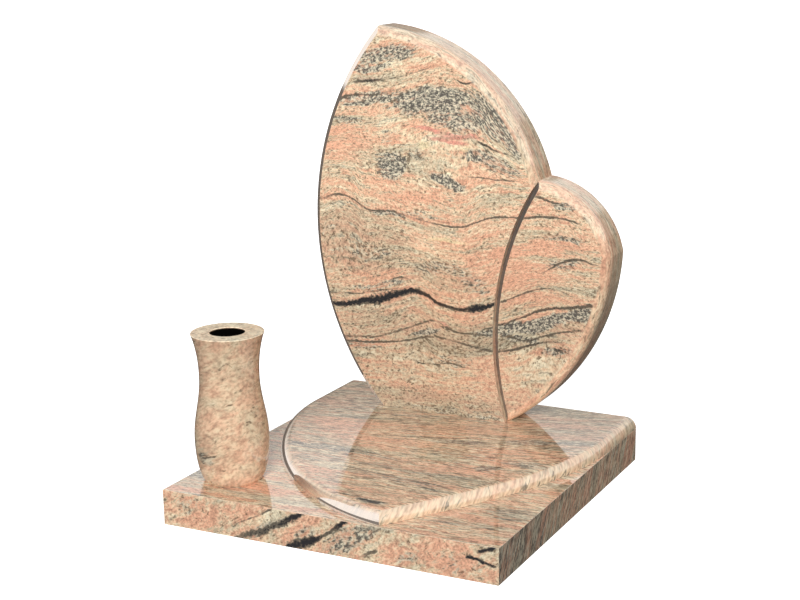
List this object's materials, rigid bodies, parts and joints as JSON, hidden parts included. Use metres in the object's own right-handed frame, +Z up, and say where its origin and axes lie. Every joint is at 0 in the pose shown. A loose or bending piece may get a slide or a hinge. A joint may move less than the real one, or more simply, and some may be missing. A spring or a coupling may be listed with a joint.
{
  "type": "cinerary monument",
  "caption": "Polished granite urn-plot monument: square base slab, leaf-shaped plate, upright stele in a large and a small leaf, and a turned flower vase.",
  "frame": {"origin": "centre of the base slab's underside, on the ground", "axes": "+Z up; the stele's front faces -Y; +X to the right as seen from the front, on the small leaf's side"},
  "size_m": [0.6, 0.6, 0.776],
  "materials": {
    "base_slab": "polished veined granite",
    "leaf_plate": "polished veined granite",
    "stele_leaf": "polished veined granite",
    "stele_petal": "polished veined granite",
    "flower_vase": "polished veined granite"
  },
  "bodies": {
    "root": {"base_slab": "base_slab", "leaf_plate": "leaf_plate", "stele_leaf": "stele_leaf", "stele_petal": "stele_petal", "flower_vase": "flower_vase"}
  },
  "joints": []
}
